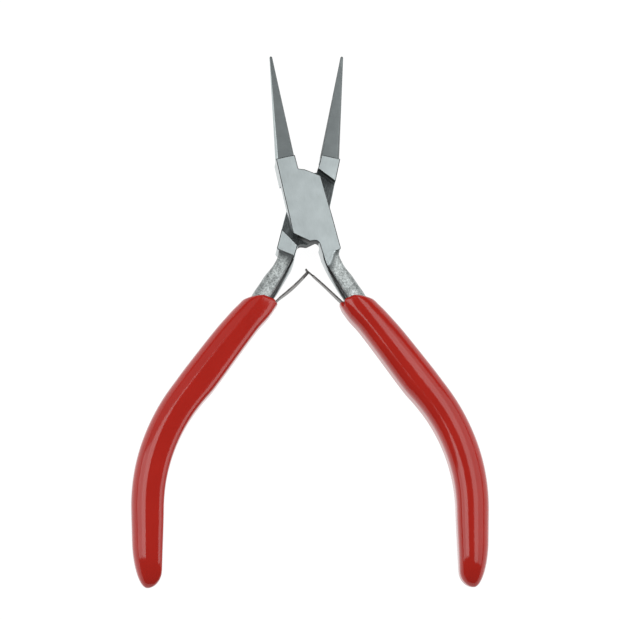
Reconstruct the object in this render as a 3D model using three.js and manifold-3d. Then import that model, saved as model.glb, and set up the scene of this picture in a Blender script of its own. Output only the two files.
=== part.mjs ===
// Round nose pliers for jewellery work: a lap joint held by one flush rivet, two levers of
// one and the same forging, two leaf springs hooked into each other, and dipped grips.
//
// Units are millimetres. +Y points to the jaw tips, +X to the right, +Z to the front face.
// The origin is on the rivet's axis, in the plane of the joint's back face, on which the
// pliers lie. A lever is drawn with the pliers closed, in the place of the front lever: its
// jaw is left of the axis and its handle right of it. The back lever is the same lever
// turned half a turn about Y. Both are then swung open about the rivet.
import * as THREE from 'three';
import { mergeVertices } from 'three/addons/utils/BufferGeometryUtils.js';
import Module from 'manifold-3d';

const wasm = await Module();
wasm.setup();

const radians = THREE.MathUtils.degToRad;

// ---- Driving dimensions -------------------------------------------------------------

const thickness = 9; // joint, from back face to front face
const midHeight = thickness / 2;
const halfOpening = radians(12.5); // each lever, from closed to held open by the springs
const lapClearance = 0.06; // each cheek, to the middle plane
const fitGap = 0.1; // round the rivets
const sleeveGap = 0.2; // between a handle and its grip

const jaw = {
  baseY: 11.5,
  tipY: 35.5,
  baseX: -2.62,
  tipX: -0.45,
  baseRadius: 2.24,
  tipRadius: 0.33,
  rootDepth: 1.5, // let into the neck
  // Of the radius: the front and back are ground flat at this height, to this half width.
  flatHeight: 0.7,
  flatHalfWidth: 0.82,
};

const rivet = { shankRadius: 2, headRadius: 2.6, headDepth: 0.8 };

const handle = {
  startX: 2.25,
  startY: -11,
  startAngle: radians(6), // from straight down, outwards
  flareAngle: radians(25.25),
  endAngle: radians(-12.5),
  flareRadius: 38,
  straightLength: 28.4,
  bowRadius: 42,
  lastStraight: 12.7, // of the steel, inside the grip
  gripReach: 17.7, // of the grip, from the same point
  barStart: 0.4, // the bar's upper end, hidden in the heel
  neckEnd: 8, // the bar has its full section from here
  taperStart: 45, // and narrows from here to its end
  neckHalfWidth: 1.85,
  halfWidth: 2.15,
  endHalfWidth: 1.8,
  neckHalfHeight: 3.35,
  halfHeight: 3.1,
  endHalfHeight: 2.6,
};

const grip = {
  mouthAt: 12.2, // along the handle
  lipLength: 0.5,
  lipSize: 0.9, // of the girth behind it
  bodyStart: 14.7,
  hollowOverrun: 4, // past the leaning mouth
  leanFadesAt: 20,
  outerLean: radians(-37.75), // the dipping line, square to the open tool's axis
  innerLean: radians(-15.75),
  innerRounding: 4.4, // length over which each side is drawn in at the closed end
  outerRounding: 11,
  heightRounding: 7,
  // along the handle, inner half width, outer half width, half height
  girth: [
    [12.2, 3.6, 3.3, 4.1],
    [15.8, 3.85, 3.5, 4.3],
    [18.9, 3.62, 3.74, 4.4],
    [24.8, 3.73, 4.09, 4.5],
    [36.1, 4.09, 4.15, 4.5],
    [40, 3.9, 4.05, 4.5],
    [50, 3.83, 3.88, 4.5],
    [60, 3.78, 3.8, 4.5],
    [69.5, 3.72, 3.6, 4.4],
    [79, 3.4, 3.35, 4.1],
    [87.5, 3.1, 3.1, 3.7],
  ],
};

const spring = {
  gauge: 0.32,
  hinge: [2.65, -23.45], // where the blade leaves the foot
  bladeLength: 10.5, // to the crossing
  forkOverrun: 0.1, // of the fork, past the crossing
  tongueOverrun: 0.45, // of the tongue's neck
  bladeAngle: radians(34.5), // from +Y towards -X, in the closed lever's frame
  rootHeight: 3.2,
  rootLength: 3.7, // of this height
  tipHeight: 2.6,
  notchWidth: 1.6,
  notchDepth: 1.9,
  neckWidth: 1.2,
  neckLength: 1.6,
  headLength: 0.55,
  headWidth: 2.4,
  neckShoulder: 0.8, // from full height to neck
  flank: 2.6, // parallel sides of the fork
  footStart: 14.4, // along the handle
  footEnd: 21.6,
  footGap: 0.15, // to the steel
  rootGap: 0.12, // from foot to blade
  roomMargin: 0.25, // round the foot, inside the grip
  rivetAt: 17.4,
  rivetRadius: 0.75,
  rivetHeadRadius: 1.3,
  rivetHeadHeight: 0.4,
  rivetHeadGap: 0.05,
  rivetDepth: 2,
};

// ---- Materials ----------------------------------------------------------------------

const polishedSteel = { color: 0xb9c0c1, roughness: 0.3, metalness: 1 };
const springSteel = { color: 0x6d6a66, roughness: 0.35, metalness: 1 };
const redVinyl = { color: 0xc02420, roughness: 0.22, metalness: 0 };

// ---- Helpers ------------------------------------------------------------------------

function toSolid(geometry) {
  const bare = geometry.clone();
  bare.deleteAttribute('normal');
  bare.deleteAttribute('uv');
  const merged = mergeVertices(bare, 1e-4);
  const mesh = new wasm.Mesh({
    numProp: 3,
    vertProperties: new Float32Array(merged.attributes.position.array),
    triVerts: new Uint32Array(merged.index.array),
  });
  mesh.merge();
  return new wasm.Manifold(mesh);
}

function toGeometry(solid) {
  const mesh = solid.getMesh();
  const geometry = new THREE.BufferGeometry();
  geometry.setAttribute('position', new THREE.BufferAttribute(mesh.vertProperties, 3));
  geometry.setIndex(new THREE.BufferAttribute(mesh.triVerts, 1));
  geometry.computeVertexNormals();
  return geometry;
}

function named(name, geometry, finish) {
  const mesh = new THREE.Mesh(geometry, new THREE.MeshStandardMaterial(finish));
  mesh.name = name;
  return mesh;
}

// A flat plate with the given outline, from one height to another.
function plate(outline, bottom, top, curveSegments = 6) {
  const settings = { depth: top - bottom, bevelEnabled: false, curveSegments };
  return new THREE.ExtrudeGeometry(outline, settings).translate(0, 0, bottom);
}

// An outline through corners given as [x, y, radius]; a corner without a radius is sharp.
function roundedOutline(corners) {
  const shape = new THREE.Shape();
  corners.forEach(([x, y, radius = 0], i) => {
    const corner = new THREE.Vector2(x, y);
    const before = new THREE.Vector2(...corners.at(i - 1)).sub(corner).normalize();
    const after = new THREE.Vector2(...corners[(i + 1) % corners.length]).sub(corner);
    const halfAngle = Math.abs(Math.acos(before.dot(after.normalize()))) / 2;
    const trim = radius / Math.tan(halfAngle);
    const start = corner.clone().addScaledVector(before, trim);
    const end = corner.clone().addScaledVector(after, trim);
    if (i === 0) shape.moveTo(start.x, start.y);
    else shape.lineTo(start.x, start.y);
    if (radius > 0) shape.quadraticCurveTo(x, y, end.x, end.y);
  });
  shape.closePath();
  return shape;
}

// A section that changes along a path. It is extruded in one step per station, and then each
// ring is moved to its station: a section's +X side goes outwards, and its +Y side up.
function sweep(section, stations, curveSegments = 5) {
  const steps = stations.length - 1;
  const settings = { steps, depth: steps, bevelEnabled: false, curveSegments };
  const geometry = new THREE.ExtrudeGeometry(section, settings);
  const position = geometry.attributes.position;
  for (let i = 0; i < position.count; i += 1) {
    const station = stations[Math.round(position.getZ(i))];
    const across = position.getX(i);
    const side = across < 0 ? station.inner : station.outer;
    position.setXYZ(
      i,
      station.x + across * side.x,
      station.y + across * side.y,
      midHeight + position.getY(i) * station.halfHeight,
    );
  }
  return geometry;
}

// A station on a path: half widths are square to the path unless a side leans back.
function station(at, inner, outer, halfHeight, innerLean = 0, outerLean = 0) {
  const side = (halfWidth, lean) => {
    const reach = halfWidth / Math.cos(lean);
    const angle = at.normalAngle + lean;
    return { x: reach * Math.cos(angle), y: reach * Math.sin(angle) };
  };
  return { x: at.x, y: at.y, halfHeight, inner: side(inner, innerLean), outer: side(outer, outerLean) };
}

const unitRound = new THREE.Shape().absarc(0, 0, 1, 0, 2 * Math.PI);

// The jaw's section: round sides, ground flat at its top and bottom.
function flattedRound(flatHeight, flatHalfWidth) {
  const bulge = 2 - flatHalfWidth;
  const shape = new THREE.Shape();
  shape.moveTo(flatHalfWidth, -flatHeight);
  shape.quadraticCurveTo(bulge, 0, flatHalfWidth, flatHeight);
  shape.lineTo(-flatHalfWidth, flatHeight);
  shape.quadraticCurveTo(-bulge, 0, -flatHalfWidth, -flatHeight);
  shape.closePath();
  return shape;
}

const forgedSection = roundedOutline([[1, -1, 0.75], [1, 1, 0.75], [-1, 1, 0.75], [-1, -1, 0.75]]);

// ---- The handle's middle line -------------------------------------------------------

// From the joint it flares outwards, runs straight, and bows back towards the axis.
function handleLine(lastStraight) {
  const { startX, startY, startAngle, flareAngle, endAngle } = handle;
  const line = new THREE.Path();
  const flareX = startX + handle.flareRadius * Math.cos(startAngle);
  const flareY = startY + handle.flareRadius * Math.sin(startAngle);
  line.absarc(flareX, flareY, handle.flareRadius, Math.PI + startAngle, Math.PI + flareAngle);
  const bowX = line.currentPoint.x + handle.straightLength * Math.sin(flareAngle);
  const bowY = line.currentPoint.y - handle.straightLength * Math.cos(flareAngle);
  const centreX = bowX - handle.bowRadius * Math.cos(flareAngle);
  const centreY = bowY - handle.bowRadius * Math.sin(flareAngle);
  line.absarc(centreX, centreY, handle.bowRadius, flareAngle, endAngle, true);
  const end = line.currentPoint;
  line.lineTo(end.x + lastStraight * Math.sin(endAngle), end.y - lastStraight * Math.cos(endAngle));
  return line;
}

const gripLine = handleLine(handle.gripReach);
gripLine.arcLengthDivisions = 400;
const gripLineLength = gripLine.getLength();
const steelEnd = gripLineLength - handle.gripReach + handle.lastStraight;

function onHandle(distance) {
  const u = Math.min(distance / gripLineLength, 1);
  const point = gripLine.getPointAt(u);
  const heading = gripLine.getTangentAt(u);
  return { x: point.x, y: point.y, normalAngle: Math.atan2(heading.x, -heading.y) };
}

// A point beside the handle's middle line; outwards is positive.
function besideHandle(distance, offset) {
  const { x, y, normalAngle } = onHandle(distance);
  return new THREE.Vector2(x + offset * Math.cos(normalAngle), y + offset * Math.sin(normalAngle));
}

// ---- Lever --------------------------------------------------------------------------

// Half width and half height of the steel along the handle.
function steelSize(distance) {
  const widening = THREE.MathUtils.smoothstep(distance, handle.barStart, handle.neckEnd);
  const narrowing = THREE.MathUtils.smoothstep(distance, handle.taperStart, steelEnd);
  const width = THREE.MathUtils.lerp(handle.neckHalfWidth, handle.halfWidth, widening);
  const height = THREE.MathUtils.lerp(handle.neckHalfHeight, handle.halfHeight, widening);
  return {
    width: THREE.MathUtils.lerp(width, handle.endHalfWidth, narrowing),
    height: THREE.MathUtils.lerp(height, handle.endHalfHeight, narrowing),
  };
}

// The handle's steel, or with a margin the hollow that it takes up in its grip.
function handleBar(from, to, margin, steps) {
  const stations = [];
  for (let i = 0; i <= steps; i += 1) {
    const distance = from + ((to - from) * i) / steps;
    const size = steelSize(distance);
    const halfWidth = size.width + margin;
    stations.push(station(onHandle(distance), halfWidth, halfWidth, size.height + margin));
  }
  return sweep(forgedSection, stations, 3);
}

function jawCone() {
  const along = new THREE.Vector2(jaw.tipX - jaw.baseX, jaw.tipY - jaw.baseY);
  const length = along.length();
  along.normalize();
  const normalAngle = Math.atan2(along.x, -along.y);
  const taper = (jaw.baseRadius - jaw.tipRadius) / length;
  const at = (distance, roundness = 1) => {
    const radius = (jaw.baseRadius - taper * distance) * roundness;
    const x = jaw.baseX + along.x * distance;
    const y = jaw.baseY + along.y * distance;
    return station({ x, y, normalAngle }, radius, radius, radius);
  };
  const cone = [-jaw.rootDepth, length].map((distance) => at(distance));
  const tip = [30, 60, 80].map((degrees) => {
    const angle = radians(degrees);
    return at(length + jaw.tipRadius * Math.sin(angle), Math.cos(angle));
  });
  return sweep(flattedRound(jaw.flatHeight, jaw.flatHalfWidth), [...cone, ...tip], 8);
}

// Neck, cheek and heel in one outline, as thick as the joint before the lap is cut.
const bodyOutline = roundedOutline([
  [-4.7, 11.5],
  [-0.42, 11.5],
  [-0.48, 8.2, 0.3],
  [0.9, 7.72, 0.4],
  [3.3, 6.1],
  [4.1, 5.55, 0.5],
  [4.62, -5],
  [4.84, -12],
  [0.55, -12.75],
  [0.27, -8.9, 1.2],
  [-1.7, -8.72, 0.3],
  [-4.1, -6.85],
  [-4.8, -6.3, 0.4],
  [-4.8, 4],
]);

// The lap: where the other lever's cheek lies and turns. Its two slanting sides are the
// shoulders of the neck and of the heel.
const lapOutline = roundedOutline([
  [-7, 5.22],
  [-0.1, 8.32],
  [-0.1, 10],
  [8, 10],
  [8, -4.97],
  [-1, -10.97],
  [-7, -10.97],
]);

// The rivet is countersunk on both faces. Its hole is wider by the margin, and as much longer.
function rivetProfile(margin) {
  const shank = rivet.shankRadius + margin;
  const head = rivet.headRadius + margin;
  const slope = (rivet.headRadius - rivet.shankRadius) / rivet.headDepth;
  const overhang = margin * slope;
  return [
    [0, -margin],
    [head + overhang, -margin],
    [shank, rivet.headDepth],
    [shank, thickness - rivet.headDepth],
    [head + overhang, thickness + margin],
    [0, thickness + margin],
  ];
}

// A body of revolution about Z.
function turned(profile, segments) {
  const points = profile.map(([radius, height]) => new THREE.Vector2(radius, height));
  return new THREE.LatheGeometry(points, segments).rotateX(Math.PI / 2);
}

function placedOnHandle(geometry, distance, offset) {
  const { x, y } = besideHandle(distance, offset);
  geometry.rotateY(Math.PI / 2);
  geometry.rotateZ(onHandle(distance).normalAngle);
  return geometry.translate(x, y, midHeight);
}

const rivetSegments = 40;
const springRivetSegments = 16;
const steelFace = -steelSize(spring.rivetAt).width;

function springRivetHole() {
  const radius = spring.rivetRadius + fitGap;
  const depth = spring.rivetDepth + fitGap;
  const drill = turned([[0, -1], [radius, -1], [radius, depth], [0, depth]], springRivetSegments);
  return placedOnHandle(drill, spring.rivetAt, steelFace);
}

function leverGeometry() {
  const body = toSolid(plate(bodyOutline, 0, thickness));
  const lap = toSolid(plate(lapOutline, -1, midHeight + lapClearance));
  const rivetHole = toSolid(turned(rivetProfile(fitGap), rivetSegments));
  const lever = body
    .subtract(lap)
    .add(toSolid(jawCone()))
    .add(toSolid(handleBar(handle.barStart, steelEnd, 0, 22)))
    .subtract(rivetHole)
    .subtract(toSolid(springRivetHole()));
  return toGeometry(lever);
}

// ---- Grip ---------------------------------------------------------------------------

// Inner half width, outer half width and half height of the grip at a distance.
function gripGirth(distance) {
  const { girth } = grip;
  const last = girth.findIndex(([at]) => at >= distance);
  const next = girth[Math.max(last, 1)];
  const previous = girth[Math.max(last, 1) - 1];
  const part = THREE.MathUtils.clamp((distance - previous[0]) / (next[0] - previous[0]), 0, 1);
  return [1, 2, 3].map((column) => THREE.MathUtils.lerp(previous[column], next[column], part));
}

// The closed end is drawn in like an ellipse, over its own length on each side.
function drawnIn(distance, rounding) {
  const part = Math.max(distance - gripLineLength + rounding, 0) / rounding;
  return Math.sqrt(1 - part * part);
}

function gripStation(distance, scale = 1) {
  const girth = gripGirth(distance);
  const roundings = [grip.innerRounding, grip.outerRounding, grip.heightRounding];
  const [inner, outer, halfHeight] = roundings.map(
    (rounding, i) => girth[i] * drawnIn(distance, rounding) * scale,
  );
  const fade = 1 - THREE.MathUtils.smoothstep(distance, grip.mouthAt, grip.leanFadesAt);
  const innerLean = grip.innerLean * fade;
  const outerLean = grip.outerLean * fade;
  return station(onHandle(distance), inner, outer, halfHeight, innerLean, outerLean);
}

function gripGeometry() {
  const stations = [
    gripStation(grip.mouthAt, grip.lipSize),
    gripStation(grip.mouthAt + grip.lipLength),
  ];
  const bodyEnd = gripLineLength - grip.outerRounding;
  const bodySteps = 22;
  for (let i = 0; i <= bodySteps; i += 1) {
    stations.push(gripStation(THREE.MathUtils.lerp(grip.bodyStart, bodyEnd, i / bodySteps)));
  }
  for (const degrees of [15, 28, 40, 50, 60, 68, 75, 82]) {
    stations.push(gripStation(bodyEnd + grip.outerRounding * Math.sin(radians(degrees))));
  }
  const skin = toSolid(sweep(unitRound, stations, 12));
  const hollowStart = grip.mouthAt - grip.hollowOverrun;
  const hollow = toSolid(handleBar(hollowStart, steelEnd + sleeveGap, sleeveGap, 18));
  return toGeometry(skin.subtract(hollow).subtract(springRoom()));
}

// ---- Springs ------------------------------------------------------------------------

// Points beside the handle's inner side, from one distance to another.
function alongside(from, to, offset, steps) {
  const points = [];
  for (let i = 0; i <= steps; i += 1) {
    const distance = THREE.MathUtils.lerp(from, to, i / steps);
    points.push(besideHandle(distance, -(handle.halfWidth + offset)));
  }
  return points;
}

// A strip of constant thickness on edge, along points in the XY plane.
function strip(points, gauge, bottom, top) {
  const left = [];
  const right = [];
  points.forEach((point, i) => {
    const before = points[Math.max(i - 1, 0)];
    const after = points[Math.min(i + 1, points.length - 1)];
    const heading = after.clone().sub(before).normalize();
    const side = new THREE.Vector2(-heading.y, heading.x).multiplyScalar(gauge / 2);
    left.push(point.clone().add(side));
    right.push(point.clone().sub(side));
  });
  return plate(new THREE.Shape([...right, ...left.reverse()]), bottom, top);
}

const hingePoint = new THREE.Vector2(...spring.hinge);
const footBottom = midHeight - spring.rootHeight / 2;
const footTop = midHeight + spring.rootHeight / 2;

// The room for the foot and its rivet's head inside the grip, open at the mouth.
function springRoom() {
  const { footGap, gauge, rivetHeadHeight, roomMargin } = spring;
  const depth = footGap + gauge + rivetHeadHeight + roomMargin;
  const from = spring.footEnd + roomMargin;
  const points = alongside(from, grip.mouthAt - grip.hollowOverrun, depth / 2, 5);
  return toSolid(strip(points, depth, footBottom - roomMargin, footTop + roomMargin));
}

function footGeometry() {
  const offset = spring.footGap + spring.gauge / 2;
  const line = alongside(spring.footEnd, spring.footStart, offset, 3);
  const last = line.at(-1);
  const towardsHinge = hingePoint.clone().sub(last);
  const reach = towardsHinge.length() - spring.rootGap - spring.gauge / 2;
  line.push(last.clone().addScaledVector(towardsHinge.normalize(), reach));
  const foot = toSolid(strip(line, spring.gauge, footBottom, footTop));
  const radius = spring.rivetRadius + fitGap;
  const half = spring.rivetDepth;
  const punch = turned([[0, -half], [radius, -half], [radius, half], [0, half]], springRivetSegments);
  return toGeometry(foot.subtract(toSolid(placedOnHandle(punch, spring.rivetAt, steelFace))));
}

function springRivetGeometry() {
  const headAt = -(spring.footGap + spring.gauge + spring.rivetHeadGap);
  const radius = spring.rivetHeadRadius;
  const crown = headAt - spring.rivetHeadHeight;
  const profile = [
    [0, crown],
    [radius * 0.6, crown + spring.rivetHeadHeight * 0.2],
    [radius, headAt],
    [spring.rivetRadius, headAt],
    [spring.rivetRadius, spring.rivetDepth],
    [0, spring.rivetDepth],
  ];
  return placedOnHandle(turned(profile, springRivetSegments), spring.rivetAt, steelFace);
}

// A blade's outline: along its length, and across in height.
function bladeOutline(tip) {
  const root = spring.rootHeight / 2;
  const right = [[0, -root], [spring.rootLength, -root], ...tip];
  const left = right.map(([along, across]) => [along, -across]).reverse();
  return new THREE.Shape([...right, ...left].map(([x, y]) => new THREE.Vector2(x, y)));
}

// The fork ends where the blades cross, with a notch open at its end.
function forkTip() {
  const end = spring.tipHeight / 2;
  const notch = spring.notchWidth / 2;
  const length = spring.bladeLength + spring.forkOverrun;
  return [
    [length - spring.flank, -end],
    [length, -end],
    [length, -notch],
    [length - spring.notchDepth, -notch],
  ];
}

// The tongue narrows to pass the notch, and its head holds it there.
function tongueTip() {
  const neck = spring.neckWidth / 2;
  const head = spring.headWidth / 2;
  const passes = spring.bladeLength + spring.tongueOverrun;
  const neckStart = passes - spring.neckLength;
  return [
    [neckStart - spring.neckShoulder, -head],
    [neckStart, -neck],
    [passes, -neck],
    [passes, -head],
    [passes + spring.headLength, -head],
  ];
}

function bladeGeometry(tip) {
  const blade = plate(bladeOutline(tip), -spring.gauge / 2, spring.gauge / 2);
  blade.rotateX(Math.PI / 2);
  blade.rotateZ(Math.PI / 2 + spring.bladeAngle);
  return blade.translate(...spring.hinge, midHeight);
}

// ---- Assembly -----------------------------------------------------------------------

// One half of the tool: a lever with its grip and its spring.
function half(leverName, side, springTip) {
  const group = new THREE.Group();
  group.add(
    named(leverName, leverGeometry(), polishedSteel),
    named(`${side}_grip`, gripGeometry(), redVinyl),
    named(`${side}_spring_foot`, footGeometry(), springSteel),
    named(`${side}_spring_blade`, bladeGeometry(springTip), springSteel),
    named(`${side}_spring_rivet`, springRivetGeometry(), springSteel),
  );
  return group;
}

const frontHalf = half('front_lever', 'right', tongueTip());
frontHalf.rotation.z = halfOpening;

const backHalf = half('back_lever', 'left', forkTip());
backHalf.rotation.y = Math.PI;
backHalf.position.z = thickness;

const backSwing = new THREE.Group();
backSwing.add(backHalf);
backSwing.rotation.z = -halfOpening;

const pivotRivet = named('pivot_rivet', turned(rivetProfile(0), rivetSegments), polishedSteel);

const pliers = new THREE.Group();
pliers.add(frontHalf, backSwing, pivotRivet);

export default pliers;
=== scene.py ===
"""Round nose pliers: fine meshes, materials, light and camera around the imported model.

The shapes are drawn in millimetres in the lever's own place: the front lever with the pliers
closed, its jaw left of the axis and its handle right of it, +Z up. The back lever is the same
lever turned half a turn about Y, and both are swung open about the rivet.
"""

import math

import bmesh
import bpy
from mathutils import Matrix, Vector


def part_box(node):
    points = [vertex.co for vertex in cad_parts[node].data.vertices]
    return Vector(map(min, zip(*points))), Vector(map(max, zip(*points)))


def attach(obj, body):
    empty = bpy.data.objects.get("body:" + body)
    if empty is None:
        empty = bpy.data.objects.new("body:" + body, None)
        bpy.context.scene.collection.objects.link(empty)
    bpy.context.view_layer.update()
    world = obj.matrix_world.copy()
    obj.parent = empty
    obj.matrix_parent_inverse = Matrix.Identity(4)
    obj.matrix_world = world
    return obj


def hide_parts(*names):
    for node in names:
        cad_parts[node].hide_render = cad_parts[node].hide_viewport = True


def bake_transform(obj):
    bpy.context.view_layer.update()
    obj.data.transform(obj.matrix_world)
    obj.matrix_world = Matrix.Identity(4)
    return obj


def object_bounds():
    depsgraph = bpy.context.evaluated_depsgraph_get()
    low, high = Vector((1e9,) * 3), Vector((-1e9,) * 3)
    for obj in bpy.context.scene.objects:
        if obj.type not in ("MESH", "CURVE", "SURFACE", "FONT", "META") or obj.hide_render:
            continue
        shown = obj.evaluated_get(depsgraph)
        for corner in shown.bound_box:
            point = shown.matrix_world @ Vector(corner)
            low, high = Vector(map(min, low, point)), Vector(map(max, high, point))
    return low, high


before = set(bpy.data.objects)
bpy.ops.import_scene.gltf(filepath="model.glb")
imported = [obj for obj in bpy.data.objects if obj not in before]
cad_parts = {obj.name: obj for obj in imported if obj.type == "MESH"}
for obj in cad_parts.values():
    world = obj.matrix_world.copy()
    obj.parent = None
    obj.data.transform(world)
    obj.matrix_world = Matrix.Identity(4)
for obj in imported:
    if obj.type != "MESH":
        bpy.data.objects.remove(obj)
cad_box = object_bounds()

# ---- Driving dimensions, in millimetres ------------------------------------------------

MM = 0.001
RIVET_LOW, RIVET_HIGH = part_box("pivot_rivet")
THICKNESS = (RIVET_HIGH.z - RIVET_LOW.z) / MM
MID = THICKNESS / 2
HALF_OPENING = math.radians(12.5)
LAP_CLEARANCE = 0.06
EDGE_BREAK = 0.18

JAW = {
    "base": Vector((-2.62, 11.5)),
    "tip": Vector((-0.45, 35.5)),
    "base_radius": 2.24,
    "tip_radius": 0.33,
    "root": 1.2,  # how far it goes into the neck
    # parts of the radius:
    "flat_height": 0.7,
    "flat_half_width": 0.82,
    "outer_rounding": 0.32,
}
# The hole is wider than the rivet by gap, and the hammered rivet fills it, all but a hairline.
RIVET = {"shank": 2.0, "head": 2.6, "depth": 0.8, "gap": 0.1, "hairline": 0.003}

# The handle's middle line: an arc outwards, a straight, an arc back in, a last straight.
START = Vector((2.25, -11))
START_ANGLE = math.radians(6)
FLARE_ANGLE = math.radians(25.25)
END_ANGLE = math.radians(-12.5)
FLARE_RADIUS = 38
STRAIGHT = 28.4
BOW_RADIUS = 42
FLARE_LENGTH = FLARE_RADIUS * (FLARE_ANGLE - START_ANGLE)
BOW_LENGTH = BOW_RADIUS * (FLARE_ANGLE - END_ANGLE)
STEEL_END = FLARE_LENGTH + STRAIGHT + BOW_LENGTH + 12.7
GRIP_END = FLARE_LENGTH + STRAIGHT + BOW_LENGTH + 17.59

# Half width and half height of the handle's steel: in the heel, in the tang, at its end.
HEEL_HALF = (1.85, 3.35)
TANG_HALF = (2.15, 3.1)
END_HALF = (1.8, 2.6)
HEEL_TO_TANG = (0.4, 8)  # the stretch of the handle over which the first turns into the second
TAPER_START = 45  # and where the second starts to turn into the third

# The heel's ground faces, and how they run out on the forged tang.
SCOOP = 1.25  # length over which a face falls away
FACE_END_BACK = 1.25  # where the back face ends along the handle
FACE_END_OUTER = 1.15  # where the front face ends, at the outer side
FACE_END_INNER = 3.9  # and at the inner side

# Powers of the superellipses that the handle's sections are.
TANG_POWER = 3
HEEL_INNER_POWER = 14
HEEL_OUTER_POWER = 40
GRIP_POWER = 2.15
GRIP_INNER_FRONT_POWER = 2.8
GRIP_INNER_BACK_POWER = 10

MOUTH = 12.2
OUTER_LEAN = math.radians(-37.75)
INNER_LEAN = math.radians(-15.75)
LEAN_END = 20
# Along the handle: inner half width, outer half width, half height of the grip.
GIRTH = [
    (12.2, 3.6, 3.3, 4.2),
    (15.8, 3.85, 3.5, 4.3),
    (18.9, 3.62, 3.74, 4.4),
    (24.8, 3.73, 4.09, 4.48),
    (36.1, 4.09, 4.15, 4.5),
    (40, 3.9, 4.05, 4.5),
    (50, 3.83, 3.87, 4.5),
    (60, 3.78, 3.77, 4.5),
    (69.5, 3.72, 3.59, 4.4),
    (79, 3.4, 3.35, 4.1),
    (87.5, 3.1, 3.1, 3.7),
]
INNER_ROUNDING = 3.7  # length over which each side is drawn in at the closed end
OUTER_ROUNDING = 10.3
HEIGHT_ROUNDING = 7
LIP_INNER, LIP_OUTER = 0.75, 1.5  # radius of the mouth's lip at either side
STEEL_GAP = 0.04  # between the steel and the grip's hollow
GRIP_SEGMENTS = 80

SPRING = {
    "gauge": 0.32,
    "hinge": Vector((2.65, -23.45)),
    "angle": math.radians(34.5),
    "bend": 1.6,  # the blade is straight from here on
    "blend": (-0.6, 1.4),  # the stretch that bends when the pliers close, from the hinge
    "blade": 10.5,  # from the hinge to where the two springs cross
    "taper": (3, 8.5),
    "root_height": 3.2,
    "tip_height": 2.6,
    "foot_gap": 0.15,
    "foot_start": 14.4,
    "foot_end": 21.6,
    # How far each goes past the crossing, how far it bows, and how far it leans.
    "fork": {"past": 0.1, "bow": 0.25, "twist": math.radians(5)},
    "tongue": {"past": 0.8, "bow": -0.08, "twist": math.radians(2)},
}
SPRING_HEADING = Vector((-math.sin(SPRING["angle"]), math.cos(SPRING["angle"])))
# Half height of the tongue's neck and head and of the fork's slot, and where along the blade
# each starts, from the crossing.
NECK_HALF, NECK_START, NECK_FULL = 0.6, -1.75, -1.05
HEAD_HALF, HEAD_START = 1.2, 0.45
SLOT_HALF, SLOT_START = 0.8, -1.8


# ---- Small tools -----------------------------------------------------------------------


def mix(a, b, part):
    return a + (b - a) * part


def ease(value, low, high):
    """0 below low, 1 above high, and smooth in between."""
    part = min(max((value - low) / (high - low), 0), 1)
    return part * part * (3 - 2 * part)


def rounded(corners, steps=8):
    """An outline through corners given as (x, y, radius)."""
    outline = []
    for i, (x, y, radius) in enumerate(corners):
        corner = Vector((x, y))
        before = (Vector(corners[i - 1][:2]) - corner).normalized()
        after = (Vector(corners[(i + 1) % len(corners)][:2]) - corner).normalized()
        if radius == 0:
            outline.append(corner)
            continue
        trim = radius / math.tan(math.acos(before.dot(after)) / 2)
        first, last = corner + before * trim, corner + after * trim
        for k in range(steps + 1):
            t = k / steps
            outline.append(first * (1 - t) ** 2 + corner * 2 * t * (1 - t) + last * t * t)
    return outline


def loft(name, rings):
    """A closed skin over rings that all have the same number of points."""
    bm = bmesh.new()
    loops = [[bm.verts.new(point) for point in ring] for ring in rings]
    for low, high in zip(loops, loops[1:]):
        for i in range(len(low)):
            bm.faces.new((low[i - 1], low[i], high[i], high[i - 1]))
    bm.faces.new(reversed(loops[0]))
    bm.faces.new(loops[-1])
    bmesh.ops.recalc_face_normals(bm, faces=bm.faces)
    mesh = bpy.data.meshes.new(name)
    bm.to_mesh(mesh)
    bm.free()
    return mesh


def prism(name, outline, bottom, top):
    return loft(name, [[(p.x, p.y, z) for p in outline] for z in (bottom, top)])


def circle(segments):
    """The angles of a ring's points."""
    return [2 * math.pi * i / segments for i in range(segments)]


def turned(name, profile):
    """A body of revolution about Z from (radius, height) pairs."""
    rings = [[(r * math.cos(a), r * math.sin(a), z) for a in circle(96)] for r, z in profile]
    return loft(name, rings)


def new_object(name, mesh):
    thing = bpy.data.objects.new(name, mesh)
    bpy.context.scene.collection.objects.link(thing)
    return thing


def combine(base, operation, *others):
    """base with the other meshes cut out of it or added to it."""
    target = new_object("work", base)
    tools = []
    for other in others:
        tool = new_object("tool", other)
        step = target.modifiers.new(operation, "BOOLEAN")
        step.operation = operation
        step.solver = "EXACT"
        step.object = tool
        tools.append(tool)
    result = bake(target)
    for tool in tools:
        bpy.data.objects.remove(tool)
    return result


def bake(thing):
    """The object's mesh with its modifiers applied; the object goes."""
    graph = bpy.context.evaluated_depsgraph_get()
    mesh = bpy.data.meshes.new_from_object(thing.evaluated_get(graph))
    bpy.data.objects.remove(thing)
    return mesh


def bevelled(mesh, width):
    thing = new_object("work", mesh)
    step = thing.modifiers.new("edges", "BEVEL")
    step.width = width
    step.segments = 3
    step.limit_method = "ANGLE"
    step.angle_limit = math.radians(28)
    step.miter_outer = "MITER_ARC"
    # Blender would otherwise narrow every bevel to fit the short edges of the rounded corners.
    step.use_clamp_overlap = False
    return bake(thing)


def smooth(mesh, angle=32):
    """Smooth shading, apart from edges sharper than angle in degrees."""
    mesh.polygons.foreach_set("use_smooth", [True] * len(mesh.polygons))
    mesh.set_sharp_from_angle(angle=math.radians(angle))


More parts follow.
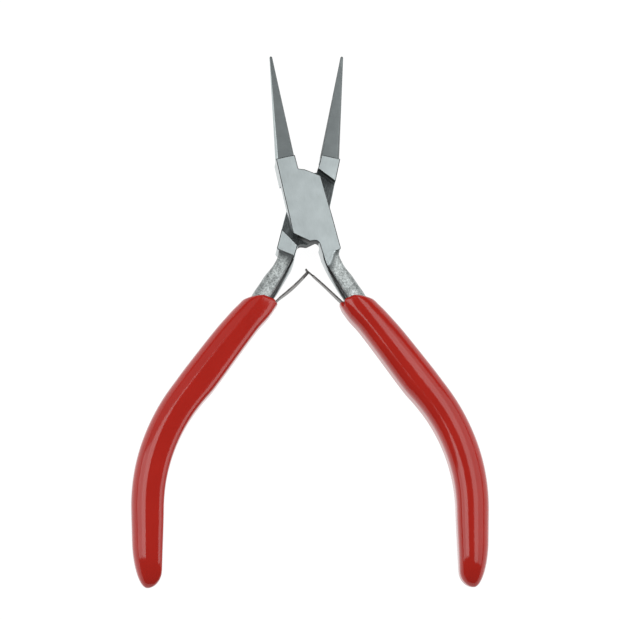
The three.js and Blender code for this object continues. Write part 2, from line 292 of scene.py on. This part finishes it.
def placement(side):
    """From a lever's own millimetres to the row frame, for the front or the back lever."""
    size = Matrix.Scale(MM, 4)
    if side == "front":
        return Matrix.Rotation(HALF_OPENING, 4, "Z") @ size
    over = Matrix.Translation((0, 0, THICKNESS)) @ Matrix.Rotation(math.pi, 4, "Y")
    return Matrix.Rotation(-HALF_OPENING, 4, "Z") @ size @ over


def piece(name, mesh, side, *materials):
    """A finished piece in its place."""
    mesh.transform(placement(side))
    thing = new_object(name, mesh)
    if materials:
        mesh.materials.clear()
        for material in materials:
            mesh.materials.append(material)
    return thing


# ---- Handle ----------------------------------------------------------------------------


def on_handle(s):
    """The point at distance s on the handle's middle line, and its outward normal's angle."""
    flare_centre = START + FLARE_RADIUS * Vector((math.cos(START_ANGLE), math.sin(START_ANGLE)))
    angle = START_ANGLE + min(s, FLARE_LENGTH) / FLARE_RADIUS
    point = flare_centre - FLARE_RADIUS * Vector((math.cos(angle), math.sin(angle)))
    rest = s - FLARE_LENGTH
    if rest > 0:
        point = point + min(rest, STRAIGHT) * Vector((math.sin(angle), -math.cos(angle)))
    rest -= STRAIGHT
    if rest > 0:
        centre = point - BOW_RADIUS * Vector((math.cos(angle), math.sin(angle)))
        angle -= min(rest, BOW_LENGTH) / BOW_RADIUS
        point = centre + BOW_RADIUS * Vector((math.cos(angle), math.sin(angle)))
    rest -= BOW_LENGTH
    if rest > 0:
        point = point + rest * Vector((math.sin(angle), -math.cos(angle)))
    return point, angle


def beside(s, offset):
    point, angle = on_handle(s)
    return point + offset * Vector((math.cos(angle), math.sin(angle)))


def steel_half(s):
    """Half width and half height of the handle's steel at s."""
    settled = ease(s, *HEEL_TO_TANG)
    tapered = ease(s, TAPER_START, STEEL_END)
    sizes = zip(HEEL_HALF, TANG_HALF, END_HALF)
    return [mix(mix(heel, tang, settled), end, tapered) for heel, tang, end in sizes]


def superellipse(theta, power):
    """A point of the unit superellipse, from a circle at 2 towards a square."""
    c, s = math.cos(theta), math.sin(theta)
    grow = (abs(c) ** power + abs(s) ** power) ** (-1 / power)
    return c * grow, s * grow


def ground(s, across, up):
    """How much of the heel's ground face is left: 1 on the face, 0 on the forged bar."""
    end = FACE_END_BACK
    if up > 0:
        end = mix(FACE_END_INNER, FACE_END_OUTER, ease(across, -0.9, 0.8))
    return math.exp(-max(s - end, 0) / SCOOP)


def bulge(s, inner):
    """How far a side of the steel stands out from the plain bar at s."""
    if inner:
        return 0.32 * ease(s, 0, 2.5) * (1 - ease(s, 3, 8))
    shoulder = 0.45 * (1 - ease(s, 0.2, 3))
    swell = 0.3 * ease(s, 3, 8) * (1 - ease(s, 12, 15))
    waist = 0.32 * ease(s, 0, 2.5) * (1 - ease(s, 5, 9))
    return shoulder + swell - waist


def bar_point(s, theta, margin=0.0):
    """A point of the handle's steel: squared in the heel, rounded further down."""
    point, angle = on_handle(s)
    out = Vector((math.cos(angle), math.sin(angle)))
    half_width, half_height = steel_half(s)
    inner = math.cos(theta) < 0
    face = ground(s, *superellipse(theta, 4))
    heel_power = HEEL_INNER_POWER if inner else HEEL_OUTER_POWER
    across, up = superellipse(theta, mix(TANG_POWER, heel_power, face))
    if inner:
        draft = 0.2 * (1 - ease(s, 9, 16))
        across *= 1 - draft * abs(up) ** 1.5 * (1 - face)
    place = point + out * across * (half_width + margin + bulge(s, inner))
    height = mix(half_height, MID, face) + margin
    return Vector((place.x, place.y, MID + up * height))


def bar():
    """The handle's steel, with its sections close together where the heel falls away."""
    stops = [-0.6 + 0.18 * i for i in range(45)]
    stops += [stops[-1] + 0.6 * i for i in range(1, 20)]
    stops += [mix(stops[-1], STEEL_END, i / 30) for i in range(1, 31)]
    return loft("bar", [[bar_point(s, theta) for theta in circle(64)] for s in stops])


# ---- Jaw -------------------------------------------------------------------------------


def flatted(segments=14):
    """The jaw's unit section: ground flat in front and behind, softly rounded on its outer side."""
    wide, high, soft = JAW["flat_half_width"], JAW["flat_height"], JAW["outer_rounding"]
    beside_edge = wide * 0.97  # a point close to the edge keeps the flat's shading flat
    inner = [(beside_edge, -high)]
    outer = []
    for i in range(segments + 1):
        t = i / segments
        inner.append((wide + 4 * t * (1 - t) * (1 - wide), mix(-high, high, t)))
        turn = math.pi * (t + 0.5)
        outer.append((soft - 1 + soft * math.cos(turn), high * math.sin(turn)))
    return [*inner, (beside_edge, high), *outer]


def jaw():
    """A tapered jaw with a domed tip."""
    along = JAW["tip"] - JAW["base"]
    length = along.length
    along.normalize()
    across = Vector((-along.y, along.x))
    taper = (JAW["base_radius"] - JAW["tip_radius"]) / length
    rings = []

    def ring(distance, scale=1.0):
        centre = JAW["base"] + along * distance
        radius = (JAW["base_radius"] - taper * distance) * scale
        places = [(centre - across * x * radius, MID + y * radius) for x, y in flatted()]
        rings.append([(p.x, p.y, z) for p, z in places])

    for i in range(40):
        ring(mix(-JAW["root"], length, i / 39))
    for degrees in (20, 38, 54, 68, 80):
        angle = math.radians(degrees)
        ring(length + JAW["tip_radius"] * math.sin(angle), math.cos(angle))
    return loft("jaw", rings)


# ---- Lever -----------------------------------------------------------------------------

# The full-thickness outline of neck, cheek and heel, as (x, y, corner radius).
BODY = [
    (-4.95, 11.5, 0),
    (-0.55, 11.5, 0),
    (-0.48, 8.2, 0.3),
    (0.9, 7.72, 0.4),
    (3.3, 6.1, 0),
    (4.1, 5.55, 0.5),
    (4.62, -5, 0),
    (4.84, -12, 0.6),
    (0.55, -12.75, 0),
    (0.27, -8.9, 1.2),
    (-1.7, -8.72, 0.3),
    (-4.1, -6.85, 0),
    (-5.0, -6.15, 0.4),
    (-5.0, 4, 0),
]
# What is milled away for the other lever, as far as its shoulder and its heel.
LAP = [(-7, 5.22), (-0.1, 8.32), (-0.1, 10), (8, 10), (8, -4.97), (-1, -10.97), (-7, -10.97)]


def rivet_profile(margin, overrun=0.0):
    """The rivet with its countersunk heads, grown by margin and run on past both faces."""
    head, shank, depth = RIVET["head"] + margin, RIVET["shank"] + margin, RIVET["depth"]
    spread = overrun * (RIVET["head"] - RIVET["shank"]) / depth
    return [
        (head + spread, -overrun),
        (shank, depth),
        (shank, THICKNESS - depth),
        (head + spread, THICKNESS + overrun),
    ]


def head():
    """Neck, cheek and heel, with the lap cut away and the rivet's hole."""
    body = prism("body", rounded(BODY), 0, THICKNESS)
    lap = prism("lap", [Vector(p) for p in LAP], -1, MID + LAP_CLEARANCE)
    cut = bevelled(combine(body, "DIFFERENCE", lap), EDGE_BREAK)
    hole = turned("hole", rivet_profile(RIVET["gap"], 0.2))
    return combine(cut, "DIFFERENCE", hole)


def lever_mesh():
    """The whole lever: head, jaw and handle in one."""
    return combine(head(), "UNION", jaw(), bar())


# The fourth finish is painted shade: the lap darkened as shade, and black lines along edges.
POLISHED, SATIN, FORGED, PAINTED_SHADE, WALL = range(5)
HANDLE_TOP = -12.2  # the handle's own steel starts below this
SHADE_LINE_WIDTH = 0.25  # width of the painted shade line along the tang's inner edge
# Where along Y the lap's shoulder, its heel and the crotch between the handles are.
SHOULDER_SPAN = (5.0, 8.4)
HEEL_SPAN = (-11.1, -4.8)
CROTCH_SPAN = (-12.5, -6.2)


def within(value, span):
    return span[0] < value < span[1]


def beside_handle(place):
    """Distance along the handle's middle line and offset from it, outwards, in a few steps."""
    s = 0.0
    for _ in range(6):
        point, angle = on_handle(s)
        s += (place - point).dot(Vector((math.sin(angle), -math.cos(angle))))
    point, angle = on_handle(s)
    return s, (place - point).dot(Vector((math.cos(angle), math.sin(angle))))


def jaw_finish(normal, side, facing):
    # The outer sides: the front jaw's gets the brighter polished finish as a painted highlight of
    # the light on the left; the back jaw's stays satin.
    if normal.x < -0.3:
        return POLISHED if side == "front" else SATIN
    # Edges on the side that faces up get painted shade lines.
    on_edge = 0.25 < abs(normal.z) < 0.9
    return PAINTED_SHADE if facing and on_edge else SATIN


def handle_finish(centre, normal, facing):
    s, offset = beside_handle(centre.xy)
    # A painted shade line along the tang's inner edge, on the side that faces up.
    inner_edge = bar_point(s, math.radians(135 if centre.z > MID else 225))
    if facing and (centre - inner_edge).length < SHADE_LINE_WIDTH:
        return PAINTED_SHADE
    on_inner_side = offset < -0.7 * steel_half(s)[0] and abs(normal.z) < 0.6
    return WALL if on_inner_side else FORGED


def head_finish(centre, normal, facing):
    in_lap = centre.z < MID + LAP_CLEARANCE + 0.02
    milled = centre.z > MID and abs(normal.z) > 0.9
    shoulder = within(centre.y, SHOULDER_SPAN) and centre.x > -4.2 and normal.y < -0.5
    heel = within(centre.y, HEEL_SPAN) and normal.y > 0.5
    # The lap's floor, shoulder and heel get painted shade.
    if in_lap and (milled or shoulder or heel):
        return PAINTED_SHADE
    # Painted shade on the crotch's walls between the handles, and painted shade lines on the bevels
    # at the faces that face up.
    crotch = within(centre.y, CROTCH_SPAN) and -4 < centre.x < 1 and normal.y < -0.4
    at_face = abs(centre.z - MID) > MID - 0.5
    rim = facing and at_face and 0.5 <= abs(normal.z) < 0.98
    if crotch or rim:
        return PAINTED_SHADE
    return WALL if abs(normal.z) < 0.98 else POLISHED


def finish_of(centre, normal, side):
    """Which finish a face of the lever has; its edges get painted shade lines on the side that
    faces up.
    """
    facing = (centre.z > MID) == (side == "front")
    if centre.y > JAW["base"].y + 0.02:
        return jaw_finish(normal, side, facing)
    if centre.y < HANDLE_TOP and centre.x > -0.5:
        return handle_finish(centre, normal, facing)
    return head_finish(centre, normal, facing)


# ---- Grip ------------------------------------------------------------------------------


def girth(s):
    """The girth at s, smooth through the table's rows."""
    rows = GIRTH
    if s <= rows[0][0]:
        return rows[0][1:]
    if s >= rows[-1][0]:
        return rows[-1][1:]
    i = next(k for k in range(len(rows) - 1) if rows[k + 1][0] >= s)
    low, high = rows[i], rows[i + 1]
    before, after = rows[max(i - 1, 0)], rows[min(i + 2, len(rows) - 1)]
    span = high[0] - low[0]
    t = (s - low[0]) / span
    result = []
    for k in (1, 2, 3):
        slope_low = (high[k] - before[k]) / (high[0] - before[0])
        slope_high = (after[k] - low[k]) / (after[0] - low[0])
        value = (
            low[k] * (2 * t**3 - 3 * t**2 + 1)
            + slope_low * span * (t**3 - 2 * t**2 + t)
            + high[k] * (3 * t**2 - 2 * t**3)
            + slope_high * span * (t**3 - t**2)
        )
        result.append(value)
    return result


def drawn_in(s, rounding):
    """The closed end is drawn in like an ellipse, over its own length on each side."""
    part = max(s - GRIP_END + rounding, 0) / rounding
    return math.sqrt(max(1 - part * part, 0))


def skin_point(s, theta, inset=0.0):
    """A point of the grip's skin: rounded on its outer side, squarer on its inner side."""
    point, angle = on_handle(min(s, GRIP_END))
    inner, outer, high = girth(s)
    inner *= drawn_in(s, INNER_ROUNDING)
    outer *= drawn_in(s, OUTER_ROUNDING)
    high *= drawn_in(s, HEIGHT_ROUNDING)
    inner_power = GRIP_INNER_FRONT_POWER if math.sin(theta) > 0 else GRIP_INNER_BACK_POWER
    on_inner_side = ease(-math.cos(theta), -0.1, 0.6)
    across, up = superellipse(theta, mix(GRIP_POWER, inner_power, on_inner_side))
    lean = (OUTER_LEAN if across > 0 else INNER_LEAN) * (1 - ease(s, MOUTH, LEAN_END))
    half = (outer if across > 0 else inner) - inset
    direction = Vector((math.cos(angle + lean), math.sin(angle + lean)))
    place = point + direction * across * half / math.cos(lean)
    return Vector((place.x, place.y, MID + up * (min(high, MID) - inset)))


def valley(theta):
    """How far the mouth dips between the steel and the spring: 1 mm at the most."""
    return math.exp(-(((math.cos(theta) + 0.8) / 0.1) ** 2))


def hollow_rings(turns):
    """The hollow that holds the tang, from its closed end to below the lip."""
    rings = []
    for k in range(26):
        s = mix(STEEL_END + 0.3, MOUTH + 1.6, k / 25)
        past_steel = on_handle(max(s, STEEL_END))[0] - on_handle(STEEL_END)[0]
        past_steel.resize_3d()
        ring = [bar_point(min(s, STEEL_END), theta, STEEL_GAP) for theta in turns]
        rings.append([point + past_steel for point in ring])
    return rings


def lip_point(theta, degrees):
    """A point of the mouth's rounded lip, from inside at -60 to the outer skin at 90."""
    angle = math.radians(degrees)
    radius = mix(LIP_INNER, LIP_OUTER, ease(math.cos(theta), 0.2, 1))
    depth = radius * (1 - math.cos(angle)) * (1 if degrees > 0 else 0.6)
    return skin_point(MOUTH + valley(theta) + depth, theta, radius * (1 - math.sin(angle)))


def grip():
    """A dipped grip: hollow, lip, body and closed end in one skin."""
    turns = circle(GRIP_SEGMENTS)
    rings = hollow_rings(turns)
    for degrees in (-60, -30, 0, 22, 45, 67, 90):
        rings.append([lip_point(theta, degrees) for theta in turns])
    body_start, body_end = MOUTH + 2.6, GRIP_END - OUTER_ROUNDING
    for k in range(111):
        s = mix(body_start, body_end, k / 110)
        fade = 1 - ease(s, body_start, body_start + 3)
        rings.append([skin_point(s + valley(theta) * fade, theta) for theta in turns])
    for degrees in (*range(5, 85, 5), 83, 86, 88):
        s = body_end + OUTER_ROUNDING * math.sin(math.radians(degrees))
        rings.append([skin_point(s, theta) for theta in turns])
    return loft("grip", rings)


# ---- Springs ---------------------------------------------------------------------------


def strap(name, points, lows, highs, twists):
    """A thin strip on edge along points, with its lower and upper edge given at each."""
    gauge = SPRING["gauge"] / 2
    soft = 0.05
    rings = []
    for i, point in enumerate(points):
        before, after = points[max(i - 1, 0)], points[min(i + 1, len(points) - 1)]
        heading = (after - before).normalized()
        side = Vector((-heading.y, heading.x))
        low, high = lows[i], highs[i]
        corners = [
            (gauge, low + soft), (gauge, high - soft), (gauge - soft, high), (soft - gauge, high),
            (-gauge, high - soft), (-gauge, low + soft), (soft - gauge, low), (gauge - soft, low),
        ]
        ring = []
        for out, up in corners:
            out = out + up * math.sin(twists[i])
            ring.append((point.x + side.x * out, point.y + side.y * out, MID + up))
        rings.append(ring)
    return loft(name, rings)


def spring_line(bow):
    """The strip's middle line, foot to tip, as pairs of a point and its distance from the hinge."""
    hinge, bend, blade = SPRING["hinge"], SPRING["bend"], SPRING["blade"]
    side = Vector((-SPRING_HEADING.y, SPRING_HEADING.x))
    offset = -(TANG_HALF[0] + SPRING["foot_gap"] + SPRING["gauge"] / 2)
    stops = [mix(SPRING["foot_end"], SPRING["foot_start"], i / 24) for i in range(25)]
    line = [(beside(s, offset), -1) for s in stops[:-1]]
    bend_start = beside(stops[-1], offset)
    bend_end = hinge + SPRING_HEADING * bend
    for i in range(15):
        t = i / 14
        point = bend_start * (1 - t) ** 2 + hinge * 2 * t * (1 - t) + bend_end * t * t
        line.append((point, 1 if t >= 0.5 else -1))
    for i in range(1, 61):
        distance = mix(bend, blade + SPRING["tongue"]["past"], i / 60)
        sag = bow * math.sin(math.pi * min(max((distance - bend) / (blade - bend), 0), 1))
        line.append((hinge + SPRING_HEADING * distance + side * sag, 1))
    return [(point, sign * (point - hinge).length) for point, sign in line]


def half_height(kind, distance):
    """Half the strip's height, with the tongue's neck and head past it."""
    taper = ease(distance, *SPRING["taper"])
    body = mix(SPRING["root_height"] / 2, SPRING["tip_height"] / 2, taper)
    if kind == "fork":
        return body
    to_crossing = distance - SPRING["blade"]
    if to_crossing > HEAD_START:
        return HEAD_HALF
    return mix(body, NECK_HALF, ease(to_crossing, NECK_START, NECK_FULL))


def spring(kind):
    """One leaf spring: the tongue with its head, or the fork that it hooks into."""
    end = SPRING["blade"] + SPRING[kind]["past"] + 0.01  # so that rounding drops no point
    line = [(point, d) for point, d in spring_line(SPRING[kind]["bow"]) if d <= end]
    points = [point for point, _ in line]
    tops = [half_height(kind, d) for _, d in line]
    bottoms = [-top for top in tops]
    twists = [SPRING[kind]["twist"] * ease(d, 0, 6) for _, d in line]
    if kind == "tongue":
        return strap("tongue", points, bottoms, tops, twists)
    split = next(i for i, (_, d) in enumerate(line) if d > SPRING["blade"] + SLOT_START)
    root, prong = slice(split + 1), slice(split, None)
    slot = [SLOT_HALF] * len(points[prong])
    straps = [
        strap("root", points[root], bottoms[root], tops[root], twists[root]),
        strap("upper prong", points[prong], slot, tops[prong], twists[prong]),
        strap("lower prong", points[prong], bottoms[prong], [-z for z in slot], twists[prong]),
    ]
    bm = bmesh.new()
    for part in straps:
        bm.from_mesh(part)
    mesh = bpy.data.meshes.new("fork")
    bm.to_mesh(mesh)
    bm.free()
    return mesh


# ---- Materials -------------------------------------------------------------------------


class Finish:
    """A material with its nodes, written as calls that return output sockets."""

    def __init__(self, name, turn=0.0):
        self.material = bpy.data.materials.new(name)
        self.material.use_nodes = True
        self.tree = self.material.node_tree
        self.tree.nodes.clear()
        self.output = self.tree.nodes.new("ShaderNodeOutputMaterial")
        self.shader = self.tree.nodes.new("ShaderNodeBsdfPrincipled")
        self.tree.links.new(self.shader.outputs[0], self.output.inputs[0])
        coordinates = self.tree.nodes.new("ShaderNodeTexCoord")
        self.place = self.node(
            "ShaderNodeMapping",
            {},
            Vector=coordinates.outputs["Object"],
            Rotation=(0, 0, turn),
            Scale=(1 / MM,) * 3,
        ).outputs[0]

    def node(self, kind, settings, **inputs):
        node = self.tree.nodes.new(kind)
        for key, value in settings.items():
            setattr(node, key, value)
        for key, value in inputs.items():
            self.set(node.inputs[key], value)
        return node

    def set(self, socket, value):
        if isinstance(value, bpy.types.NodeSocket):
            self.tree.links.new(value, socket)
        else:
            socket.default_value = value

    def axis(self, name):
        return self.node("ShaderNodeSeparateXYZ", {}, Vector=self.place).outputs[name]

    def off_middle(self):
        """Distance from the levers' middle plane."""
        return self.math("ABSOLUTE", self.math("SUBTRACT", self.axis("Z"), MID), 0.0)

    def stretched(self, scale):
        return self.node("ShaderNodeMapping", {}, Vector=self.place, Scale=scale).outputs[0]

    def noise(self, scale, detail=4, vector=None, roughness=0.5):
        return self.node(
            "ShaderNodeTexNoise",
            {},
            Vector=vector or self.place,
            Scale=scale,
            Detail=detail,
            Roughness=roughness,
        ).outputs["Fac"]

    def ramp(self, factor, low, high, start, end):
        """factor between low and high, mapped to start and end."""
        return self.node(
            "ShaderNodeMapRange",
            {},
            **{"Value": factor, "From Min": low, "From Max": high, "To Min": start, "To Max": end},
        ).outputs["Result"]

    def colours(self, factor, *stops):
        node = self.node("ShaderNodeValToRGB", {}, Fac=factor)
        elements = node.color_ramp.elements
        while len(elements) < len(stops):
            elements.new(0.5)
        for element, (position, colour) in zip(elements, stops):
            element.position = position
            element.color = (*colour, 1)
        return node.outputs["Color"]

    def mixed(self, factor, a, b):
        """Colours a and b mixed; this node has a set of sockets for each type of data."""
        node = self.node("ShaderNodeMix", {"data_type": "RGBA"})
        self.set(node.inputs[0], factor)
        self.set(node.inputs[6], a)
        self.set(node.inputs[7], b)
        return node.outputs[2]

    def math(self, operation, a, b):
        node = self.node("ShaderNodeMath", {"operation": operation})
        self.set(node.inputs[0], a)
        self.set(node.inputs[1], b)
        return node.outputs[0]

    def shared(self, a, b, part):
        """part of a, and b for the rest."""
        rest = self.math("MULTIPLY", b, 1 - part)
        return self.math("ADD", self.math("MULTIPLY", a, part), rest)

    def bump(self, height, distance, strength=1.0, normal=None):
        node = self.node(
            "ShaderNodeBump", {}, Height=height, Distance=distance * MM, Strength=strength
        )
        if normal:
            self.set(node.inputs["Normal"], normal)
        return node.outputs[0]

    def finish(self, **inputs):
        for key, value in inputs.items():
            self.set(self.shader.inputs[key.replace("_", " ")], value)
        return self.material


POLISH = 0.48
WALL_POLISH = 0.5
STEEL_TINT = (0.9, 1.0, 1.01)
FORGED_TINT = (0.93, 1.0, 0.99)


def grey(value, tint=STEEL_TINT):
    return tuple(value * t for t in tint)


def plain(value):
    """A grey for a colour socket."""
    return (*grey(value), 1)


def polished(name, turn):
    """Ground and polished steel, with faint lines along the lever."""
    f = Finish(name, turn)
    lines = f.noise(1.0, 5, f.stretched((9, 0.35, 1)), 0.6)
    clouds = f.noise(0.35, 3)
    tone = f.colours(
        f.shared(lines, clouds, 0.45), (0.3, grey(POLISH - 0.06)), (0.7, grey(POLISH + 0.06))
    )
    return f.finish(
        Base_Color=tone,
        Metallic=1.0,
        Roughness=f.ramp(lines, 0.3, 0.7, 0.3, 0.38),
        Normal=f.bump(lines, 0.004),
    )


def satin(name, turn):
    """Steel ground across the jaw: finer and darker, with painted shade where it meets the neck."""
    f = Finish(name, turn)
    lines = f.noise(1.0, 4, f.stretched((0.6, 7, 1)), 0.6)
    clouds = f.noise(0.5, 3)
    tone = f.colours(f.shared(lines, clouds, 0.5), (0.3, grey(0.165)), (0.7, grey(0.21)))
    # painted shade along the jaw's base, where it meets the neck
    clear_of_neck_shade = f.ramp(f.axis("Y"), JAW["base"].y, JAW["base"].y + 0.5, 0, 1)
    return f.finish(
        Base_Color=f.mixed(clear_of_neck_shade, plain(0.13), tone),
        Metallic=1.0,
        Roughness=f.ramp(lines, 0.3, 0.7, 0.36, 0.46),
        Normal=f.bump(lines, 0.01),
    )


def wall(name, turn):
    """The levers' sides: bright ground steel."""
    f = Finish(name, turn)
    lines = f.noise(1.0, 4, f.stretched((1, 0.4, 6)), 0.6)
    tone = f.colours(lines, (0.3, grey(WALL_POLISH - 0.05)), (0.7, grey(WALL_POLISH + 0.05)))
    return f.finish(Base_Color=tone, Metallic=1.0, Roughness=0.3, Normal=f.bump(lines, 0.004))


def forged(name, turn):
    """The blasted and plated skin of the forging, with the ground faces running out on it and
    painted shade in the scoop below them.
    """
    f = Finish(name, turn)
    grain = f.noise(2.6, 5, None, 0.75)
    blotches = f.noise(0.7, 4, None, 0.6)
    skin = f.colours(
        f.shared(grain, blotches, 0.7),
        (0.4, grey(0.17, FORGED_TINT)),
        (0.5, grey(0.36, FORGED_TINT)),
        (0.6, grey(0.58, FORGED_TINT)),
    )
    # painted shade: darker where the faces fall away into the scoop
    scoop_shade = f.ramp(f.off_middle(), MID - 0.9, MID - 0.15, 0, 1)
    on_face = f.ramp(f.off_middle(), MID - 0.3, MID - 0.03, 0, 1)
    scoop_shaded = f.mixed(scoop_shade, skin, plain(0.24))
    return f.finish(
        Base_Color=f.mixed(on_face, scoop_shaded, plain(0.4)),
        Metallic=1.0,
        Roughness=f.ramp(on_face, 0, 1, 0.42, 0.34),
        Normal=f.bump(grain, 0.08),
    )


def painted_shade(name, turn):
    """The lap's milled floor and shoulders, with painted shade darkening them; the faces' edge
    lines are painted black shade.
    """
    f = Finish(name, turn)
    streaks = f.noise(1.0, 5, f.stretched((5, 0.8, 1)), 0.7)
    tone = f.colours(streaks, (0.35, grey(0.07)), (0.55, grey(0.16)), (0.75, grey(0.34)))
    # painted black shade lines towards the faces
    edge_shade = f.ramp(f.off_middle(), 2.2, 2.9, 0, 1)
    tone = f.mixed(edge_shade, tone, plain(0.02))
    return f.finish(
        Base_Color=tone, Specular_IOR_Level=0.15, Roughness=0.5, Normal=f.bump(streaks, 0.03)
    )


def vinyl(name):
    """Glossy dipped vinyl, with a few dark specks and a slightly wavy skin."""
    f = Finish(name)
    clouds = f.noise(0.12, 3)
    fine = f.noise(1.4, 4)
    specks = f.ramp(f.noise(1.1, 2), 0.77, 0.8, 0, 1)
    tone = f.colours(clouds, (0.3, (0.4, 0.0115, 0.005)), (0.7, (0.44, 0.0145, 0.007)))
    tone = f.mixed(f.math("MULTIPLY", specks, 0.5), tone, (0.12, 0.01, 0.008, 1))
    waves = f.bump(f.noise(0.22, 1), 0.06, 0.6)
    return f.finish(
        Base_Color=tone,
        Roughness=f.ramp(fine, 0.3, 0.7, 0.09, 0.14),
        IOR=1.48,
        Normal=f.bump(fine, 0.004, 1.0, waves),
    )


def spring_steel(name):
    """Blued and rubbed spring strip."""
    f = Finish(name)
    streaks = f.noise(1.2, 4, f.stretched((1, 1, 4)))
    tone = f.colours(streaks, (0.3, (0.05, 0.047, 0.045)), (0.7, (0.2, 0.19, 0.18)))
    return f.finish(
        Base_Color=tone,
        Metallic=1.0,
        Roughness=f.ramp(streaks, 0.3, 0.7, 0.28, 0.4),
        Normal=f.bump(streaks, 0.004),
    )


# ---- The pieces ------------------------------------------------------------------------

VINYL = vinyl("vinyl")
SPRING_STEEL = spring_steel("spring_steel")


def build_lever(side, node, body):
    turn = -HALF_OPENING if side == "front" else HALF_OPENING  # lays the grinding along the lever
    mesh = lever_mesh()
    kinds = [finish_of(p.center, p.normal, side) for p in mesh.polygons]
    finishes = [
        make(f"{make.__name__}_{side}", turn) for make in (polished, satin, forged, painted_shade, wall)
    ]
    smooth(mesh)
    lever = piece(f"{node}_fine", mesh, side, *finishes)
    mesh.polygons.foreach_set("material_index", kinds)
    weighted = lever.modifiers.new("weighted normals", "WEIGHTED_NORMAL")
    weighted.keep_sharp = True
    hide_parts(node)
    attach(lever, body)
    return finishes


def build_grip(side, node, body):
    mesh = grip()
    smooth(mesh, 60)
    thing = piece(f"{node}_fine", mesh, side, VINYL)
    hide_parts(node)
    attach(thing, body)


def build_spring(side, hand, kind):
    mesh = spring(kind)
    smooth(mesh, 40)
    thing = piece(f"{hand}_spring_fine", mesh, side, SPRING_STEEL)
    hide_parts(f"{hand}_spring_foot", f"{hand}_spring_blade")
    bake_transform(thing)


front_finishes = build_lever("front", "front_lever", "front_half")
build_lever("back", "back_lever", "back_half")
build_grip("front", "right_grip", "front_half")
build_grip("back", "left_grip", "back_half")
build_spring("front", "right", "tongue")
build_spring("back", "left", "fork")

rivet_mesh = turned("rivet", rivet_profile(RIVET["gap"] - RIVET["hairline"]))
rivet_mesh.transform(Matrix.Scale(MM, 4))
smooth(rivet_mesh)
rivet = new_object("pivot_rivet_fine", rivet_mesh)
rivet_mesh.materials.append(front_finishes[POLISHED])
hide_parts("pivot_rivet")
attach(rivet, "back_half")

for hand in ("left", "right"):
    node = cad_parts[f"{hand}_spring_rivet"]
    node.data.materials.clear()
    node.data.materials.append(SPRING_STEEL)

# ---- Floor, light and camera -----------------------------------------------------------


FLOOR_REACH = 3.0
FLOOR_GAP = 0.0002  # keeps the floor from flickering through the object's lowest faces


def floor():
    mesh = bpy.data.meshes.new("floor")
    far = FLOOR_REACH
    corners = [(-far, -far, 0), (far, -far, 0), (far, far, 0), (-far, far, 0)]
    mesh.from_pydata(corners, [], [(0, 1, 2, 3)])
    thing = new_object("floor", mesh)
    thing.location.z = cad_box[0].z - FLOOR_GAP
    material = bpy.data.materials.new("light_table")
    material.use_nodes = True
    shader = material.node_tree.nodes["Principled BSDF"]
    shader.inputs["Base Color"].default_value = (0.06, 0.06, 0.06, 1)
    shader.inputs["Roughness"].default_value = 0.9
    shader.inputs["Emission Color"].default_value = (1, 1, 1, 1)
    shader.inputs["Emission Strength"].default_value = 0.98
    mesh.materials.append(material)


PANELS_AWAY = 0.6
# On the left (-1) or right (1) of the pliers: from and to so many degrees off the vertical, from
# and to so many metres along Y, and how bright.
PANELS = {
    "left_near": (-1, 16, 46, -0.12, 0.2, 2.9),
    "left_far": (-1, 46, 84, -0.12, 0.2, 1.9),
    "left_high": (-1, 3, 84, 0.2, 0.6, 0.4),
    "right_near": (1, 7, 34, -0.25, 0.42, 2.3),
    "right_far": (1, 34, 80, -0.25, 0.42, 1.2),
}


def panel(name, side, near, far, low, high, glow):
    """A softbox on a drum around the pliers, facing them."""
    angle = math.radians((near + far) / 2)
    data = bpy.data.lights.new(name, "AREA")
    data.shape = "RECTANGLE"
    data.size = 2 * PANELS_AWAY * math.tan(math.radians(far - near) / 2)
    data.size_y = high - low
    data.energy = glow * math.pi * data.size * data.size_y
    light = bpy.data.objects.new(name, data)
    bpy.context.scene.collection.objects.link(light)
    away = Vector((side * math.sin(angle), 0, math.cos(angle)))
    along = Vector((0, 1, 0))
    axes = Matrix((along.cross(away), along, away)).transposed().to_4x4()
    light.matrix_world = Matrix.Translation(away * PANELS_AWAY + along * (low + high) / 2) @ axes


floor()
for name, values in PANELS.items():
    panel(name, *values)

world = bpy.data.worlds.new("studio")
bpy.context.scene.world = world
world.use_nodes = True
backdrop = world.node_tree.nodes["Background"]
backdrop.inputs["Color"].default_value = (0.97, 0.985, 1, 1)
backdrop.inputs["Strength"].default_value = 0.2

VIEW_WIDTH = 141.11  # millimetres across the view, at the object
VIEW_MIDDLE = (0.546, -23.58)  # where the middle of the view is, right of and above the pivot
VIEW_FROM = Vector((-0.05, -0.17, 1)).normalized()
ROLL = math.radians(0.5)
LENS = 300
SENSOR = 36


def camera():
    data = bpy.data.cameras.new("camera")
    data.lens = LENS
    data.sensor_width = SENSOR
    data.clip_end = 10
    eye = bpy.data.objects.new("camera", data)
    bpy.context.scene.collection.objects.link(eye)
    level = Vector((0, 1, 0)).cross(VIEW_FROM).normalized()
    upright = VIEW_FROM.cross(level)
    up = upright * math.cos(ROLL) + level * math.sin(ROLL)
    right = up.cross(VIEW_FROM)
    target = Vector((0, 0, MID)) + right * VIEW_MIDDLE[0] + up * VIEW_MIDDLE[1]
    place = target + VIEW_FROM * VIEW_WIDTH * LENS / SENSOR
    axes = Matrix((right, up, VIEW_FROM)).transposed().to_4x4()
    eye.matrix_world = Matrix.Translation(place * MM) @ axes
    bpy.context.scene.camera = eye


camera()
bpy.context.scene.view_settings.view_transform = "Standard"
